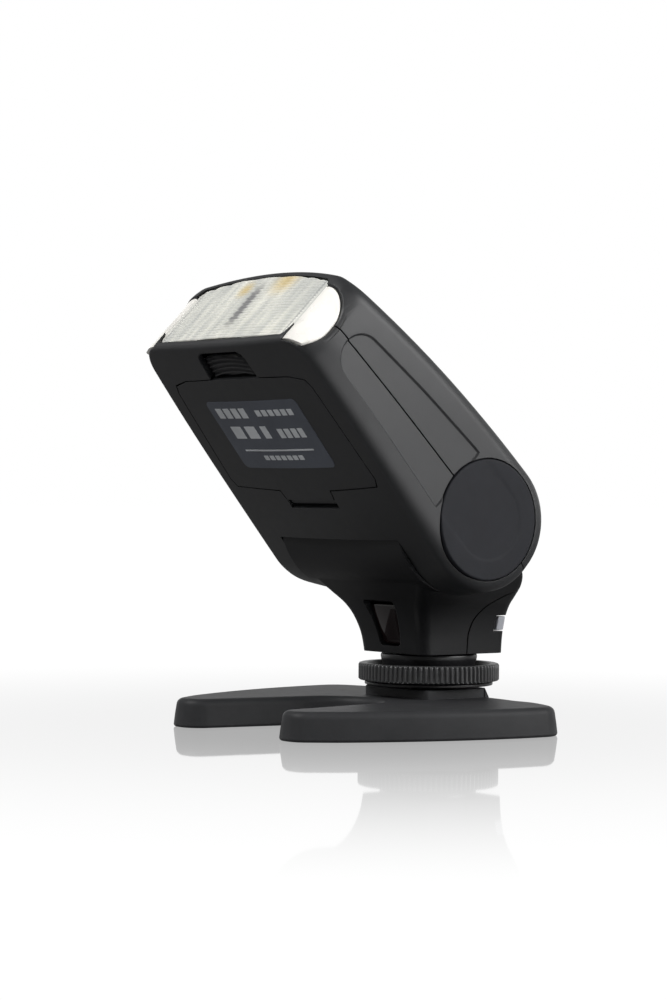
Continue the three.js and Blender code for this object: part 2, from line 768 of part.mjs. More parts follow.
function placeHead() {
  const shells = buildShells();
  place('head_upper_shell', shells.upper, 'shell', true);
  place('head_lower_shell', shells.lower, 'shell', true);
  place('battery_door', buildDoor(), 'shell', true);
  place('battery_door_latch', buildLatch(), 'shell', true);
  place('label_plate', buildLabel(), 'label', true);
  place('front_lens', lensBody(), 'lens', true);
  place('lens_side_cap_right', lensCap(), 'white', true);
  place('lens_side_cap_left', flipX(lensCap()), 'white', true);
  place('flash_reflector', buildReflector(), 'mirror', true);
  place('flash_tube', bar(-TUBE_A, TUBE_B, -23, 23, 1.6, 20), 'glass', true);
  place('tube_end_left', bar(-TUBE_A, TUBE_B, -26.2, -23.3, 1.9, 16), 'steel', true);
  place('tube_end_right', bar(-TUBE_A, TUBE_B, 23.3, 26.2, 1.9, 16), 'steel', true);
}

function placePower() {
  place('aa_cell_rear', buildCell(CELL_SEATS[0], 1), 'cell', true);
  place('aa_cell_front', buildCell(CELL_SEATS[1], -1), 'cell', true);
  place('battery_bridge_contact', contactStrip(26.4, [22, 49]), 'spring', true);
  place('battery_contact_rear', contactStrip(-26.4, [23, 33.5]), 'spring', true);
  place('battery_contact_front', contactStrip(-26.4, [37.5, 48]), 'spring', true);
  place('main_capacitor', bar(-23.2, 9, -19, 19, 5.4, 28), 'sleeve', true);
  place('flash_board', box(-24, 24, -49, -30.6, 7.2, 8.4), 'board', true);
  place('trigger_transformer', box(4, 13, -44, -35, 8.7, 12.6), 'ferrite', true);
}

placeStand();
placeFoot();
placeNeck();
placePivot();
placeHead();
placePower();

export default flash;
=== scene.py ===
"""Looks for the speedlight flash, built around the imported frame.

Shapes are worked out in millimetres and turned into metres as each piece is placed.
Head pieces are drawn level about the tilt pivot: "a" runs to the lens and "b" to the top,
so a point of the level head is (x, -a, b).  Base pieces are drawn about the foot's axis.
"""
import math

import bmesh
import bpy
from mathutils import Matrix, Vector


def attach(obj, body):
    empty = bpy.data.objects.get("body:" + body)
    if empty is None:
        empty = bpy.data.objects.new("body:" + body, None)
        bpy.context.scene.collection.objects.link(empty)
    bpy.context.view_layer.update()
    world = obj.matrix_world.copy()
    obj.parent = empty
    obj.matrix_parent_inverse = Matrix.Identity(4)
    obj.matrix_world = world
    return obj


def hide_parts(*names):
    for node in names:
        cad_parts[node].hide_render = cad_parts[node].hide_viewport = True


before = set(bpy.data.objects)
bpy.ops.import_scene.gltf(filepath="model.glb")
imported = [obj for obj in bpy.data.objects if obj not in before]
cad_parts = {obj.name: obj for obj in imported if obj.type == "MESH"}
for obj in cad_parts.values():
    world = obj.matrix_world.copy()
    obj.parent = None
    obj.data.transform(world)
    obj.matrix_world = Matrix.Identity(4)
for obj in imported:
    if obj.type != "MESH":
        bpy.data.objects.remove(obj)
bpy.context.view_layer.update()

# Sizes and places are in millimetres, and MM turns them into metres.
MM = 0.001
FOOT_AXIS_Y = 21.525
PIVOT_Y = -9.9
PIVOT_Z = 45.6
HEAD_TILT = math.radians(45)
TO_BASE = Matrix.Scale(MM, 4) @ Matrix.Translation((0, FOOT_AXIS_Y, 0))
TO_HEAD = TO_BASE @ Matrix.Translation((0, PIVOT_Y, PIVOT_Z)) @ Matrix.Rotation(-HEAD_TILT, 4, "X")

# GAP is the clearance between pieces, and FAR is past everything.
GAP = 0.3
FAR = 90.0

# Head
HEAD_FRONT = 60.0
HEAD_HALF = 32.2
CROWN = 4.0
HEAD_CORNER = 3.0
UNDER_TAPER = 2.7
END_CORNER = 6.4
LENS_RISE = 1.0
ROUND_A = -1.7
ROUND_B = 1.5
ROUND_R = 17.7
TOP_SAG = 0.0016
LIP = 1.1
WALL = 1.7
UNDER_LEVEL = -15.69
UNDER_SLOPE = 0.113
UNDER_TILT = 6.45
SLOT_HALF = 21.3
DRUM_R = 15.9
CAP_R = 12.8
CAP_FACE = 32.35
POCKET_DEPTH = 0.42
EYE_A = 67.1
EYE_B = -1.1
EYE_R = 11.7
EYE_X = 23.9
LATCH_HALF = 8.2
LATCH_BACK = 51.6
HINGE_A = 17.9
HINGE_B = -12.1
LENS_HALF = 23.6
LENS_FACE = 60.25
LENS_BACK = 57.4
RIDGE_PITCH = 0.85
RIDGE_HEIGHT = 0.36

# Neck, foot and stand
NECK_HALF = 21.0
NECK_WALL = 1.6
RING_R = 15.6
RING_BOTTOM = 9.7
RING_RIBS = 84
STEM_R = 5.8
STAND_TOP = 6.2
LOCK_PIN_Y = -5.0


# ---- Mesh helpers ---------------------------------------------------------------------------

def new_object(name, points, faces):
    mesh = bpy.data.meshes.new(name)
    mesh.from_pydata([tuple(p) for p in points], [], faces)
    mesh.update()
    obj = bpy.data.objects.new(name, mesh)
    bpy.context.scene.collection.objects.link(obj)
    return obj


def face_outwards(obj):
    work = bmesh.new()
    work.from_mesh(obj.data)
    bmesh.ops.remove_doubles(work, verts=work.verts, dist=1e-5)
    bmesh.ops.recalc_face_normals(work, faces=work.faces)
    work.to_mesh(obj.data)
    work.free()
    return obj


def strip_faces(first, count):
    """Closes a ring with strips from its first and last points towards the middle."""
    faces = []
    for i in range((count - 1) // 2):
        left, right = first + i, first + count - 1 - i
        faces.append(tuple(dict.fromkeys((left, left + 1, right - 1, right))))
    return faces


def loft(name, rings, capped=True, strips=False):
    """Skins a row of closed rings that all have the same number of points."""
    count = len(rings[0])
    points = [p for ring in rings for p in ring]
    faces = []
    for i in range(len(rings) - 1):
        for j in range(count):
            a = i * count + j
            b = i * count + (j + 1) % count
            faces.append((a, b, b + count, a + count))
    last = (len(rings) - 1) * count
    if strips:
        faces += strip_faces(0, count) + strip_faces(last, count)
    elif capped:
        faces.append(tuple(range(count)))
        faces.append(tuple(range(last, last + count)))
    return face_outwards(new_object(name, points, faces))


def grid_faces(columns, rows):
    """Quads of a grid of points that has columns + 1 points to a row."""
    count = columns + 1
    starts = [j * count + i for j in range(rows) for i in range(columns)]
    return [(k, k + 1, k + 1 + count, k + count) for k in starts]


def grid_border(columns, rows):
    """Indexes of the points round the edge of the same grid, in order."""
    count = columns + 1
    border = list(range(count))
    border += [j * count + columns for j in range(1, rows + 1)]
    border += [rows * count + i for i in range(columns - 1, -1, -1)]
    return border + [j * count for j in range(rows - 1, 0, -1)]


def grid_solid(name, top, columns, rows, base_point):
    """Closes a grid with walls down to a flat base; base_point(point) gives the foot of a wall."""
    border = grid_border(columns, rows)
    base = len(top)
    faces = grid_faces(columns, rows)
    for i, k in enumerate(border):
        j = (i + 1) % len(border)
        faces.append((k, border[j], base + j, base + i))
    points = top + [base_point(top[k]) for k in border]
    faces.append(tuple(range(base, len(points))))
    return face_outwards(new_object(name, points, faces))


def prism(name, outline, low, high, place):
    """Pushes a flat outline from low to high; place(u, v, w) turns it into a point."""
    return loft(name, [[place(u, v, w) for u, v in outline] for w in (low, high)])


# Each of these turns a flat point and a height into a point in space.

def in_plan(x, a, b):
    return (x, -a, b)


def in_side(a, b, x):
    return (x, -a, b)


def in_base_plan(x, y, z):
    return (x, y, z)


def in_base_side(y, z, x):
    return (x, y, z)


def block(name, x0, x1, y0, y1, z0, z1):
    return prism(name, [(x0, y0), (x1, y0), (x1, y1), (x0, y1)], z0, z1, in_base_plan)


def arc(cu, cv, radius, start, end, steps):
    points = []
    for i in range(steps + 1):
        angle = math.radians(start + (end - start) * i / steps)
        points.append((cu + radius * math.cos(angle), cv + radius * math.sin(angle)))
    return points


def rounded(u0, u1, v0, v1, radius, steps=6):
    return (
        arc(u1 - radius, v1 - radius, radius, 0, 90, steps)
        + arc(u0 + radius, v1 - radius, radius, 90, 180, steps)
        + arc(u0 + radius, v0 + radius, radius, 180, 270, steps)
        + arc(u1 - radius, v0 + radius, radius, 270, 360, steps)
    )


def offset(outline, distance):
    """Moves each point of an anticlockwise outline inwards by the distance."""
    moved = []
    for i, (u, v) in enumerate(outline):
        u0, v0 = outline[i - 1]
        u1, v1 = outline[(i + 1) % len(outline)]
        length = math.hypot(u1 - u0, v1 - v0)
        moved.append((u - distance * (v1 - v0) / length, v + distance * (u1 - u0) / length))
    return moved


def blend(q0, q1, q2, q3, t):
    """Catmull-Rom value between q1 and q2."""
    square = 2 * q0 - 5 * q1 + 4 * q2 - q3
    cube = 3 * q1 - q0 - 3 * q2 + q3
    return 0.5 * (2 * q1 + (q2 - q0) * t + square * t * t + cube * t ** 3)


def smooth_curve(points, steps):
    """Smooth curve through points of any length, steps to each stretch."""
    curve, last = [], len(points) - 1
    for i in range(last):
        near = (points[max(0, i - 1)], points[i], points[i + 1], points[min(last, i + 2)])
        for k in range(steps):
            curve.append(tuple(blend(*values, k / steps) for values in zip(*near)))
    return curve + [points[-1]]


def dense(outline, step):
    """Adds points along the straight stretches of a closed outline."""
    points = []
    for i, (u, v) in enumerate(outline):
        u1, v1 = outline[(i + 1) % len(outline)]
        count = max(1, math.ceil(math.hypot(u1 - u, v1 - v) / step))
        points += [(u + (u1 - u) * k / count, v + (v1 - v) * k / count) for k in range(count)]
    return points


def lathe_x(name, profile, cy=0.0, cz=0.0, steps=96):
    """Turns (x, radius) pairs about a line along X."""
    rings = []
    for x, radius in profile:
        rings.append([(x, cy + u, cz + v) for u, v in arc(0, 0, radius, 0, 360, steps)[:-1]])
    return loft(name, rings)


def lathe_z(name, profile, cx=0.0, cy=0.0, steps=96):
    """Turns (z, radius) pairs about an upright line."""
    rings = []
    for z, radius in profile:
        rings.append([(cx + u, cy + v, z) for u, v in arc(0, 0, radius, 0, 360, steps)[:-1]])
    return loft(name, rings)


def bake(obj):
    graph = bpy.context.evaluated_depsgraph_get()
    mesh = bpy.data.meshes.new_from_object(obj.evaluated_get(graph))
    obj.modifiers.clear()
    obj.data = mesh
    return obj


def combine(obj, tools, operation):
    for tool in tools:
        step = obj.modifiers.new("combine", "BOOLEAN")
        step.operation = operation
        step.solver = "EXACT"
        step.object = tool
        bpy.context.view_layer.update()
        bake(obj)
    for tool in tools:
        bpy.data.objects.remove(tool)
    return obj


def cut(obj, *tools):
    return combine(obj, tools, "DIFFERENCE")


def keep(obj, *tools):
    return combine(obj, tools, "INTERSECT")


def join(obj, *tools):
    return combine(obj, tools, "UNION")


def copy(obj, name):
    other = obj.copy()
    other.data = obj.data.copy()
    other.name = name
    bpy.context.scene.collection.objects.link(other)
    return other


def soften(obj, width, segments=2, angle=35):
    """Rounds the edges of a simple piece by the width, in millimetres."""
    step = obj.modifiers.new("soften", "BEVEL")
    step.width = width
    step.segments = segments
    step.limit_method = "ANGLE"
    step.angle_limit = math.radians(angle)
    return bake(obj)


def finish_piece(obj, place, body, material, nodes, angle=32):
    obj.data.transform(place)
    obj.data.materials.clear()
    obj.data.materials.append(material)
    obj.data.shade_smooth()
    obj.data.set_sharp_from_angle(angle=math.radians(angle))
    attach(obj, body)
    if nodes:
        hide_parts(*nodes)
    return obj


# ---- Materials ------------------------------------------------------------------------------

def node_tree(name):
    material = bpy.data.materials.new(name)
    material.use_nodes = True
    tree = material.node_tree
    return material, tree, tree.nodes["Principled BSDF"]


def add_node(tree, kind, **values):
    node = tree.nodes.new(kind)
    for key, value in values.items():
        if key in node.inputs:
            node.inputs[key].default_value = value
        else:
            setattr(node, key, value)
    return node


def noise(tree, scale, detail=4.0, rough=0.6):
    place = add_node(tree, "ShaderNodeTexCoord")
    node = add_node(tree, "ShaderNodeTexNoise")
    node.inputs["Scale"].default_value = scale
    node.inputs["Detail"].default_value = detail
    node.inputs["Roughness"].default_value = rough
    tree.links.new(place.outputs["Object"], node.inputs["Vector"])
    return node


def ramp(tree, source, low, high, dark, light):
    """Turns a 0 to 1 value into a colour between dark and light."""
    node = add_node(tree, "ShaderNodeValToRGB")
    node.color_ramp.elements[0].position = low
    node.color_ramp.elements[0].color = (*dark, 1)
    node.color_ramp.elements[1].position = high
    node.color_ramp.elements[1].color = (*light, 1)
    tree.links.new(source, node.inputs["Fac"])
    return node


def spread(tree, source, low, high):
    node = add_node(tree, "ShaderNodeMapRange")
    node.inputs["To Min"].default_value = low
    node.inputs["To Max"].default_value = high
    tree.links.new(source, node.inputs["Value"])
    return node.outputs["Result"]


def grain(tree, shader, scale, height, edge):
    """Fine moulded grain over edges that are eased by a fraction of a millimetre."""
    ease = add_node(tree, "ShaderNodeBevel", samples=4)
    ease.inputs["Radius"].default_value = edge * MM
    bump = add_node(tree, "ShaderNodeBump")
    bump.inputs["Strength"].default_value = 1.0
    bump.inputs["Distance"].default_value = height * MM
    speck = noise(tree, scale, 3.0, 0.7)
    tree.links.new(speck.outputs["Fac"], bump.inputs["Height"])
    tree.links.new(ease.outputs["Normal"], bump.inputs["Normal"])
    tree.links.new(bump.outputs["Normal"], shader.inputs["Normal"])


def clouded(tree, shader, cloud, dark, light):
    """Lets the base colour drift between two shades with the cloud noise."""
    tint = ramp(tree, cloud.outputs["Fac"], 0.3, 0.7, dark, light)
    tree.links.new(tint.outputs["Color"], shader.inputs["Base Color"])


def shade(colour, share):
    return tuple(min(1, c * share) for c in colour)


def plastic(name, colour, rough, scale=2600, height=0.012, edge=0.22, specular=0.5):
    """Moulded plastic: faint cloudy colour, grain, and a gloss that varies a little."""
    material, tree, shader = node_tree(name)
    clouded(tree, shader, noise(tree, 90, 5.0), shade(colour, 0.86), shade(colour, 1.14))
    gloss = spread(tree, noise(tree, 420, 4.0).outputs["Fac"], rough - 0.05, rough + 0.05)
    tree.links.new(gloss, shader.inputs["Roughness"])
    shader.inputs["Specular IOR Level"].default_value = specular
    grain(tree, shader, scale, height, edge)
    return material


def metal(name, colour, rough, scale=900):
    material, tree, shader = node_tree(name)
    shader.inputs["Metallic"].default_value = 1.0
    cloud = noise(tree, scale, 6.0)
    clouded(tree, shader, cloud, shade(colour, 0.8), colour)
    gloss = spread(tree, cloud.outputs["Fac"], rough * 0.7, rough * 1.3)
    tree.links.new(gloss, shader.inputs["Roughness"])
    grain(tree, shader, 5000, 0.003, 0.12)
    return material


def calc(tree, operation, *values):
    """A maths node; numbers are set and sockets are linked."""
    node = add_node(tree, "ShaderNodeMath", operation=operation)
    for i, value in enumerate(values):
        if isinstance(value, (int, float)):
            node.inputs[i].default_value = value
        else:
            tree.links.new(value, node.inputs[i])
    return node.outputs[0]


def step_down(tree, value, low, high):
    """1 below low, 0 above high and smooth between."""
    node = add_node(tree, "ShaderNodeMapRange", interpolation_type="SMOOTHSTEP")
    for name, number in (("From Min", low), ("From Max", high), ("To Min", 1.0), ("To Max", 0.0)):
        node.inputs[name].default_value = number
    tree.links.new(value, node.inputs["Value"])
    return node.outputs["Result"]


def tinted(tree, base, amount, colour):
    node = add_node(tree, "ShaderNodeMix", data_type="RGBA")
    tree.links.new(amount, node.inputs[0])
    tree.links.new(base, node.inputs[6])
    node.inputs[7].default_value = (*colour, 1)
    return node.outputs[2]


def head_coordinates(tree):
    """x and b of the level head, in metres, and the vector they come from."""
    place = add_node(tree, "ShaderNodeTexCoord")
    turn = Matrix.Rotation(HEAD_TILT, 3, "X")
    mapping = add_node(tree, "ShaderNodeMapping")
    mapping.inputs["Rotation"].default_value = (HEAD_TILT, 0, 0)
    mapping.inputs["Location"].default_value = -(turn @ TO_HEAD.to_translation())
    tree.links.new(place.outputs["Object"], mapping.inputs["Vector"])
    split = add_node(tree, "ShaderNodeSeparateXYZ")
    tree.links.new(mapping.outputs["Vector"], split.inputs["Vector"])
    return split.outputs["X"], split.outputs["Z"], mapping.outputs["Vector"]


def streaks(tree, vector):
    """Pale streaks that run from the bottom of the lens to its top."""
    stretch = add_node(tree, "ShaderNodeMapping")
    stretch.inputs["Scale"].default_value = (330, 1, 60)
    tree.links.new(vector, stretch.inputs["Vector"])
    streak = add_node(tree, "ShaderNodeTexNoise")
    streak.inputs["Scale"].default_value = 1.0
    streak.inputs["Detail"].default_value = 3.0
    tree.links.new(stretch.outputs["Vector"], streak.inputs["Vector"])
    grey, cream = (0.66, 0.67, 0.64), (0.97, 0.96, 0.88)
    return ramp(tree, streak.outputs["Fac"], 0.32, 0.66, grey, cream).outputs["Color"]


def away_from(tree, value, centre):
    return calc(tree, "ABSOLUTE", calc(tree, "SUBTRACT", value, centre))


def amber_glint(tree, colour, x, b, centre_x, centre_b, size):
    square_x = calc(tree, "POWER", calc(tree, "SUBTRACT", x, centre_x), 2.0)
    square_b = calc(tree, "POWER", calc(tree, "SUBTRACT", b, centre_b), 2.0)
    distance = calc(tree, "SQRT", calc(tree, "ADD", square_x, square_b))
    amount = calc(tree, "MULTIPLY", step_down(tree, distance, 0.0, size), 0.75)
    return tinted(tree, colour, amount, (0.80, 0.60, 0.22))


def toothed_line(tree, colour, x, b):
    """Dark line with a tooth for every ridge, up the middle of the lens."""
    tooth = calc(tree, "PINGPONG", b, 0.0008)
    reach = calc(tree, "SUBTRACT", away_from(tree, x, -0.0004), tooth)
    fade = step_down(tree, away_from(tree, b, 0.003), 0.003, 0.0085)
    centre = calc(tree, "MULTIPLY", step_down(tree, reach, 0.0002, 0.0016), fade)
    return tinted(tree, colour, calc(tree, "MULTIPLY", centre, 0.85), (0.22, 0.22, 0.23))


def edge_strips(tree, colour, x, b):
    """Fine serrated line near each end of the lens."""
    tooth = calc(tree, "PINGPONG", b, 0.0004)
    strip = away_from(tree, calc(tree, "ABSOLUTE", x), 0.0221)
    edge = step_down(tree, calc(tree, "SUBTRACT", strip, tooth), 0.0, 0.0002)
    return tinted(tree, colour, calc(tree, "MULTIPLY", edge, 0.5), (0.25, 0.26, 0.27))


def lens_plastic():
    """Ridged lens: pale streaks, amber glints at the top, a toothed line and edge strips."""
    material, tree, shader = node_tree("lens_plastic")
    x, b, vector = head_coordinates(tree)
    colour = streaks(tree, vector)
    colour = amber_glint(tree, colour, x, b, -0.0055, 0.0085, 0.0036)
    colour = amber_glint(tree, colour, x, b, 0.0075, 0.0105, 0.0062)
    colour = edge_strips(tree, toothed_line(tree, colour, x, b), x, b)
    tree.links.new(colour, shader.inputs["Base Color"])
    shader.inputs["Roughness"].default_value = 0.14
    shader.inputs["Transmission Weight"].default_value = 0.12
    shader.inputs["IOR"].default_value = 1.49
    shader.inputs["Coat Weight"].default_value = 0.3
    return material


def clear_glass(name):
    material, tree, shader = node_tree(name)
    shader.inputs["Base Color"].default_value = (0.93, 0.96, 0.97, 1)
    shader.inputs["Roughness"].default_value = 0.03
    shader.inputs["Transmission Weight"].default_value = 0.95
    shader.inputs["IOR"].default_value = 1.47
    return material


def glossy(name, colour, rough, edge=0.15, coat=0.5):
    material, tree, shader = node_tree(name)
    clouded(tree, shader, noise(tree, 140, 3.0), shade(colour, 0.85), colour)
    shader.inputs["Roughness"].default_value = rough
    shader.inputs["Coat Weight"].default_value = coat
    shader.inputs["Coat Roughness"].default_value = 0.06
    grain(tree, shader, 1500, 0.002, edge)
    return material


SHELL = plastic("shell_plastic", (0.0125, 0.013, 0.0145), 0.46)
DISC = plastic("disc_plastic", (0.0085, 0.0092, 0.0125), 0.7, scale=3400, height=0.016, specular=0.28)
STAND_SKIN = plastic("stand_plastic", (0.026, 0.0264, 0.028), 0.5, specular=0.16)
NECK_SKIN = plastic("neck_plastic", (0.008, 0.0082, 0.009), 0.4, specular=0.24)
DARK = plastic("dark_plastic", (0.008, 0.008, 0.009), 0.32, height=0.006)
RING_SKIN = plastic("ring_plastic", (0.045, 0.0455, 0.047), 0.4, height=0.006, edge=0.1)
WHITE = plastic("cap_plastic", (0.86, 0.84, 0.79), 0.28, scale=1200, height=0.003)
GREY = plastic("button_plastic", (0.36, 0.37, 0.40), 0.3, height=0.004)
LABEL = plastic("label_film", (0.072, 0.082, 0.105), 0.42, height=0.004, edge=0.05)
PRINT = plastic("label_print", (0.62, 0.64, 0.66), 0.5, height=0.002, edge=0.02)
WINDOW = glossy("infrared_window", (0.006, 0.002, 0.002), 0.08)
LED = glossy("led_red", (0.35, 0.02, 0.02), 0.15)
BOARD = glossy("board_lacquer", (0.01, 0.09, 0.045), 0.35, coat=0.3)
SLEEVE = glossy("capacitor_sleeve", (0.012, 0.013, 0.018), 0.3)
FERRITE = glossy("ferrite", (0.02, 0.018, 0.015), 0.6, coat=0.0)
CELL = glossy("cell_jacket", (0.05, 0.065, 0.10), 0.25)
STEEL = metal("steel", (0.62, 0.63, 0.65), 0.3)
NICKEL = metal("nickel", (0.66, 0.64, 0.60), 0.28)
BRASS = metal("brass", (0.66, 0.46, 0.18), 0.3)
MIRROR = metal("reflector_metal", (0.85, 0.86, 0.88), 0.12)
LENS = lens_plastic()
GLASS = clear_glass("tube_glass")


# ---- Head envelope --------------------------------------------------------------------------

def half_width(a, inset=0.0):
    """Half width at a, with the corners beside the lens rounded in plan."""
    past = max(0.0, a - 25) / 35
    radius = END_CORNER - inset
    reach = min(radius, max(0.0, a - HEAD_FRONT + END_CORNER))
    return HEAD_HALF - 1.5 * past * past - END_CORNER + math.sqrt(radius ** 2 - reach ** 2)


def corner_drop(q, radius):
    """How far a long edge of the given radius pulls the surface in at q."""
    side = max(0.0, (abs(q) - 1) * HEAD_HALF + radius)
    return radius - math.sqrt(max(0.0, radius ** 2 - side ** 2))


def taper_rise(q, a):
    """The lower part of each side leans in and ends in a tight edge."""
    return (5 + a / 20) * (corner_drop(q, UNDER_TAPER) / UNDER_TAPER)


def top_b(a, x, q):
    across = (x / HEAD_HALF) ** 2
    rise = LENS_RISE * (a / HEAD_FRONT) ** 2 * (1 - across)
    sag = TOP_SAG * (a - ROUND_A) ** 2
    return ROUND_B + ROUND_R + rise - sag - CROWN * across - corner_drop(q, HEAD_CORNER)


def low_b(a, x, q):
    crown = 0.8 + 0.7 * (1 - a / HEAD_FRONT) ** 2
    level = UNDER_LEVEL + UNDER_SLOPE * (a - 0.29)
    return level + crown * (x / HEAD_HALF) ** 2 + taper_rise(q, a)


def under_b(x, a, depth=0.0):
    """Height of the underside at x and a, the depth below the surface."""
    return low_b(a, x, x / half_width(a)) + depth


def lip_drop(a, front, lip):
    """How far the surface turns in at the lens end, for a rounded lip."""
    past = a - (front - lip)
    if past <= 0 or lip <= 0:
        return 0.0
    return lip - math.sqrt(max(0.0, lip * lip - past * past))


def along_head(start, front, lip):
    """Stations from start to the lens end, close together where the surface bends."""
    bend, stop = HEAD_FRONT - END_CORNER, front - lip
    stations = [start + (bend - start) * i / 14 for i in range(14)]
    shares = [math.sin(math.radians(d)) for d in (0, 12, 24, 36, 48, 60, 75, 90)]
    stations += [bend + (stop - bend) * share for share in shares]
    if lip > 0:
        stations += [stop + lip * math.sin(math.radians(d)) for d in (18, 36, 54, 72, 90)]
    return stations


def head_slice(q, inset, front, lip):
    """Points of one slice: over the top, round the back and along the underside."""
    top, back, under = [], [], []
    for a in reversed(along_head(ROUND_A + 1, front, lip)):
        x = q * half_width(a, inset)
        top.append((x, -a, top_b(a, x, q) - inset - lip_drop(a, front, lip)))
    drop = CROWN * q * q + corner_drop(q, HEAD_CORNER)
    lift = 0.4 + 1.5 * q * q + taper_rise(q, 0)
    for i in range(61):
        degrees = 90 + (180 + UNDER_TILT) * i / 60
        turn = max(0.0, (degrees - 180) / (90 + UNDER_TILT))
        radius = ROUND_R - inset - drop * (1 - turn) - lift * turn
        angle = math.radians(degrees)
        a = ROUND_A + radius * math.cos(angle)
        back.append((q * (HEAD_HALF - inset), -a, ROUND_B + radius * math.sin(angle)))
    for a in along_head(4, front, lip):
        x = q * half_width(a, inset)
        under.append((x, -a, low_b(a, x, q) + inset + lip_drop(a, front, lip)))
    return top + back + under


def head_body(name, inset=0.0, front=HEAD_FRONT, lip=0.0):
    """The closed outer form of the head, or a smaller one for its inside."""
    flat = HEAD_HALF - HEAD_CORNER
    half = [flat / HEAD_HALF * i / 10 for i in range(1, 11)]
    bends = [math.sin(math.radians(9 * k)) for k in range(1, 11)]
    half += [(flat + HEAD_CORNER * bend) / HEAD_HALF for bend in bends]
    across = [-q for q in reversed(half)] + [0.0] + half
    return loft(name, [head_slice(q, inset, front, lip) for q in across], strips=True)


# ---- Head shells ----------------------------------------------------------------------------

def door_outline(grow):
    half = [
        (9, 51 + grow),
        (19, 50.7 + grow),
        (23.6 + grow, 49.6 + grow),
        (24.6 + grow, 47.6),
        (25.4 + grow, 36),
        (26.2 + grow, 24),
        (25.2 + grow, 22.1 - grow),
        (9 + grow, 21.5 - grow),
        (8.4 + grow, 18.9 - grow),
    ]
    return half + [(-x, a) for x, a in reversed(half)]


def side_pocket(name, sign):
    """Cutter for the shallow long pocket in one side of the head."""
    shape = arc(46.3, -0.5, 5.1, -75, 80, 20) + [(30, 6.4), (12, 7.9), (12, -7.9), (30, -6.6)]
    shape = dense(shape, 1.5)
    rings = []
    for depth, grow in ((POCKET_DEPTH, 0.0), (-0.06, 0.5), (-2.0, 0.6)):
        level = offset(shape, -grow)
        rings.append([(sign * (half_width(a) - depth), -a, b) for a, b in level])
    inner = []
    for share in (0.05, 0.3, 0.6, 0.85):
        points = [(28 + (a - 28) * share, b * share) for a, b in shape]
        inner.append([(sign * (half_width(a) - POCKET_DEPTH), -a, b) for a, b in points])
    return loft(name, inner + rings)


def eye_cutter(name, sign):
    """Cutter for the round window beside the lens, with an eased outer edge."""
    ease, side = 1.0, half_width(EYE_A - EYE_R)
    profile = [(EYE_X, EYE_R), (side - ease, EYE_R)]
    for d in (20, 40, 60, 75, 88):
        angle = math.radians(d)
        profile.append((side - ease + ease * math.sin(angle), EYE_R + ease * (1 - math.cos(angle))))
    profile.append((40, EYE_R + ease))
    wheel = lathe_x(name, [(sign * x, r) for x, r in profile], -EYE_A, EYE_B, 160)
    return keep(wheel, block("region", -60, 60, -FAR, -54.2, -8.3, FAR))


def latch_outline(grow, front):
    half = LATCH_HALF
    return [
        (-half - grow, LATCH_BACK - grow),
        (half + grow, LATCH_BACK - grow),
        (half - 0.3 + grow, front - 2.0),
        (half - 0.9 + grow, front - 0.8),
        (half - 2.2 + grow, front),
        (-half + 2.2 - grow, front),
        (-half + 0.9 - grow, front - 0.8),
        (-half + 0.3 - grow, front - 2.0),
    ]


def build_head_shells():
    """Upper and lower shells, cut from one hollow body."""
    whole = head_body("head_shells", lip=LIP)
    cavity = head_body("cavity", WALL, HEAD_FRONT + 2)
    keep(cavity, block("ahead", -FAR, FAR, -FAR, -17.8, -FAR, FAR))
    sweep = prism("sweep", [(0, 0)] + arc(0, 0, 26, 100, 299, 48), -SLOT_HALF, SLOT_HALF, in_side)
    drum = lathe_x("drum", [(-SLOT_HALF, DRUM_R + 0.4), (SLOT_HALF, DRUM_R + 0.4)])
    cut(whole, cavity, sweep, drum)
    for sign in (-1, 1):
        # The bore steps out from the axle to the detent disc, then to the seat of the pivot cap.
        seat = CAP_R + 0.25
        steps = [(SLOT_HALF - 1, 5), (22.9, 5), (22.9, 11.2), (30.5, 11.2), (30.5, seat), (40, seat)]
        cut(whole, lathe_x("bore", [(sign * x, r) for x, r in steps]))
        cut(whole, eye_cutter("eye", sign), side_pocket("pocket", sign))
    upper = copy(whole, "head_upper_shell_skin")
    keep(upper, block("high", -FAR, FAR, -FAR, FAR, GAP / 2, FAR))
    lower = keep(whole, block("low", -FAR, FAR, -FAR, FAR, -FAR, -GAP / 2))
    lower.name = "head_lower_shell_skin"
    doorway = prism("doorway", door_outline(GAP), -FAR, -2, in_plan)
    hinge_slot = block("hinge_slot", -8.7, 8.7, -19.2, -16.6, -FAR, -5)
    recess = prism("recess", latch_outline(0.6, 58), -FAR, -2, in_plan)
    flange_recess = block("flange_recess", -10.3, 10.3, -57.1, -52.6, -8, -6.5)
    cut(lower, doorway, hinge_slot, recess, flange_recess)
    finish_piece(upper, TO_HEAD, "head", SHELL, ["head_upper_shell"])
    finish_piece(lower, TO_HEAD, "head", SHELL, ["head_lower_shell"])


# ---- Battery door, label and latch ----------------------------------------------------------

def build_door():
    door = head_body("battery_door_skin")
    keep(door, prism("outline", door_outline(0), -FAR, -2, in_plan))
    cut(door, head_body("inside", WALL, HEAD_FRONT + 2))
    knuckle = lathe_x("knuckle", [(-8, 1.1), (8, 1.1)], -HINGE_A, HINGE_B, 32)
    web = prism("web", [(17.9, -13.1), (19.6, -13.2), (19.6, -11.6), (17.9, -11.3)], -8, 8, in_side)
    hook = [(49, -9.3), (50.2, -9.3), (50.2, -7.6), (50.9, -7.6), (50.9, -6.9), (49, -6.9)]
    join(door, knuckle, web, prism("hook", hook, -4, 4, in_side))
    finish_piece(door, TO_HEAD, "door", SHELL, ["battery_door"])


